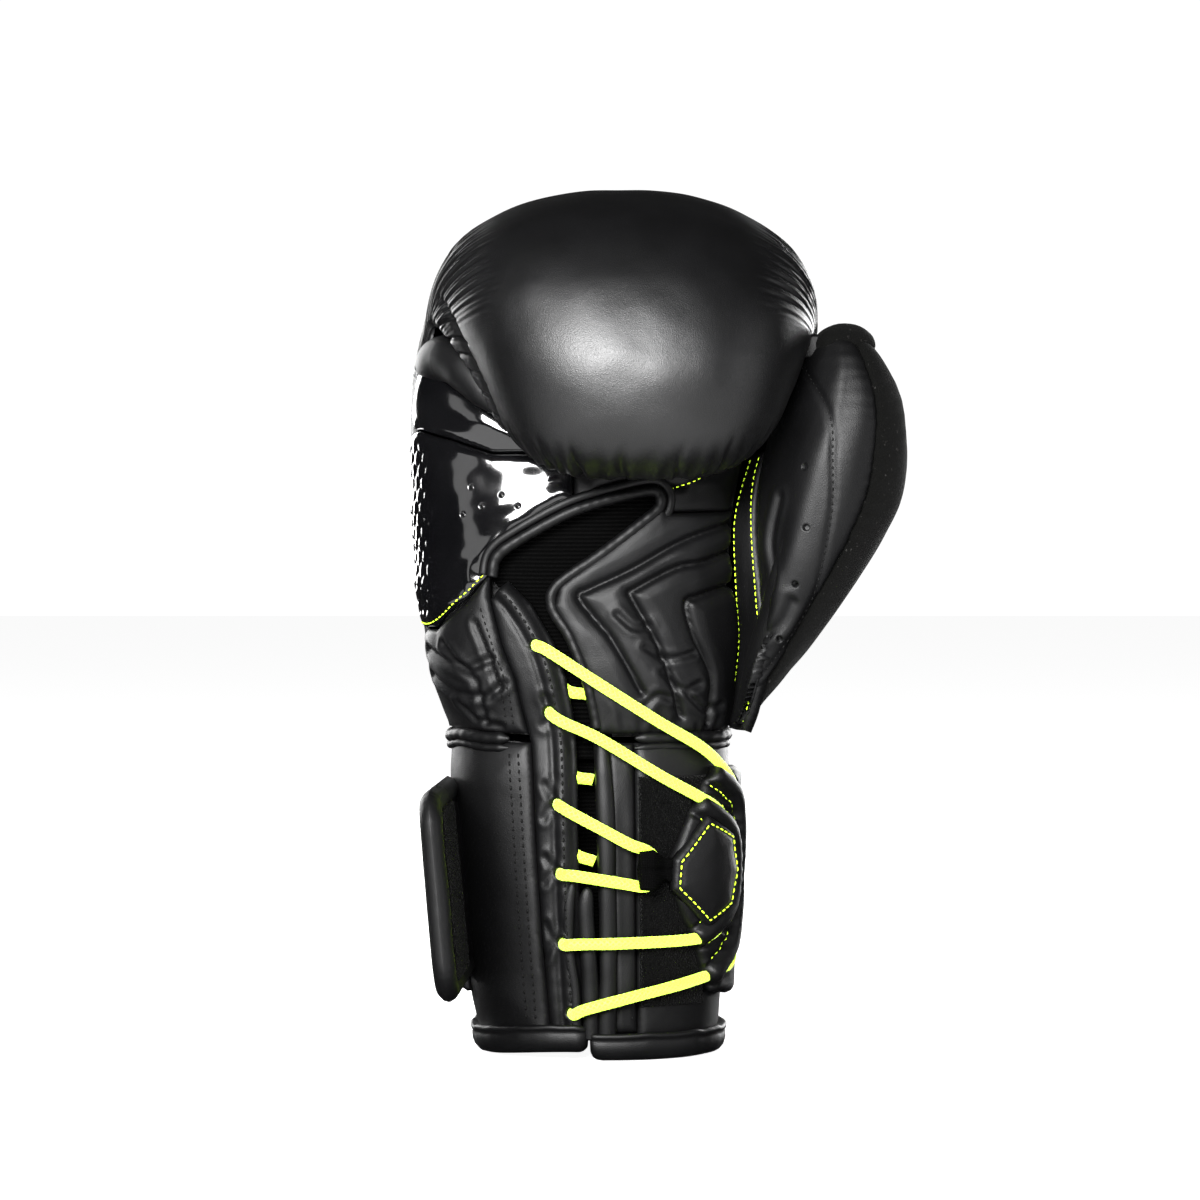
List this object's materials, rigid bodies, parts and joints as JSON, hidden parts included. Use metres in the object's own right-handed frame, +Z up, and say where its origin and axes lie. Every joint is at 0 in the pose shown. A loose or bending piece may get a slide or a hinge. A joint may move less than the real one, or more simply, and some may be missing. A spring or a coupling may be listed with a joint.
{
  "type": "boxing glove",
  "caption": "Right-hand padded boxing glove with a curled fist, attached thumb, laced wrist slit and a strap whose free flap closes over the laces.",
  "frame": {"origin": "centre of the bounding box on the plane that the cuff stands on", "axes": "+Z up from the cuff to the fist, -Y towards the palm side, +X towards the thumb"},
  "size_m": [0.1833, 0.1765, 0.3211],
  "materials": {
    "leather_black": "black grained leather, semi-matte",
    "patent_black": "black patent leather, high gloss, embossed diamonds",
    "suede_black": "black suede, matte",
    "cloth_black": "black ribbed cloth and webbing",
    "loop_pile": "black loop pile",
    "hook_pile": "black hook tape",
    "foam_grey": "closed-cell foam padding",
    "cord_neon": "neon yellow-green flat braided cord"
  },
  "bodies": {
    "hand": {"cuff_cover_left": "leather_black", "cuff_cover_right": "leather_black", "cuff_cover_back": "leather_black", "hem_binding_left": "leather_black", "hem_binding_right": "leather_black", "lace_facing_left": "leather_black", "lace_facing_right": "leather_black", "strap_lace_anchor": "leather_black", "strap_patch": "leather_black", "strap_wrap": "leather_black", "wrist_roll_left": "leather_black", "wrist_roll_right": "leather_black", "wrist_roll_back": "leather_black", "palm_slot_binding": "leather_black", "palm_lower_left": "leather_black", "palm_top": "leather_black", "palm_quilted": "leather_black", "thumb_gusset": "leather_black", "back_cover": "leather_black", "side_panel_lower": "patent_black", "cuff_lining": "cloth_black", "tongue": "cloth_black", "webbing_loop": "cloth_black", "slot_mesh": "cloth_black", "palm_lining": "cloth_black", "back_lining": "cloth_black", "grip_bar": "cloth_black", "loop_panel": "loop_pile", "cuff_pad_left": "foam_grey", "cuff_pad_right": "foam_grey", "cuff_pad_back": "foam_grey", "palm_foam": "foam_grey", "back_foam": "foam_grey", "lace_outer": "cord_neon", "lace_inner": "cord_neon", "lace_centre": "cord_neon"},
    "fist": {"fist_cover": "leather_black", "fist_foam": "foam_grey", "fist_lining": "cloth_black", "finger_cover": "leather_black", "finger_end_cap": "leather_black", "side_panel_upper": "patent_black"},
    "thumb": {"thumb_back_cover": "suede_black", "thumb_front_cover": "leather_black", "thumb_inner_cover": "leather_black", "thumb_cap": "leather_black", "thumb_pad_outer": "foam_grey", "thumb_pad_inner": "foam_grey", "thumb_tab": "leather_black"},
    "flap_a": {"flap_base": "leather_black"},
    "flap_b": {"flap_middle": "leather_black", "hook_pad_middle": "hook_pile"},
    "flap_c": {"flap_tip": "leather_black", "hook_pad_tip": "hook_pile"}
  },
  "joints": [
    {"name": "finger_flex", "type": "hinge", "parent": "hand", "child": "fist", "pos_m": [-0.0154, 0.0882, 0.2086], "axis": [-1, 0, 0], "range_deg": [0, 10], "stiffness_Nm_per_rad": 8},
    {"name": "thumb_flex", "type": "hinge", "parent": "hand", "child": "thumb", "pos_m": [0.0346, 0.0092, 0.124], "axis": [0, 1, 0], "range_deg": [0, 8], "stiffness_Nm_per_rad": 4},
    {"name": "flap_swing", "type": "hinge", "parent": "hand", "child": "flap_a", "pos_m": [-0.07015, 0.0127, 0.028], "axis": [-0.094, 0.0033, 0.9956], "range_deg": [-50, 17], "stiffness_Nm_per_rad": 0.15},
    {"name": "flap_curl", "type": "hinge", "parent": "flap_a", "child": "flap_b", "pos_m": [-0.07134, -0.02153, 0.028], "axis": [-0.094, 0.0033, 0.9956], "range_deg": [-8, 40], "stiffness_Nm_per_rad": 0.12},
    {"name": "flap_tip_curl", "type": "hinge", "parent": "flap_b", "child": "flap_c", "pos_m": [-0.07253, -0.05551, 0.028], "axis": [-0.094, 0.0033, 0.9956], "range_deg": [-9, 44.1], "stiffness_Nm_per_rad": 0.08}
  ],
  "couplings": [
    {"joint": "flap_tip_curl", "follows": "flap_curl", "ratio": 1.1}
  ]
}
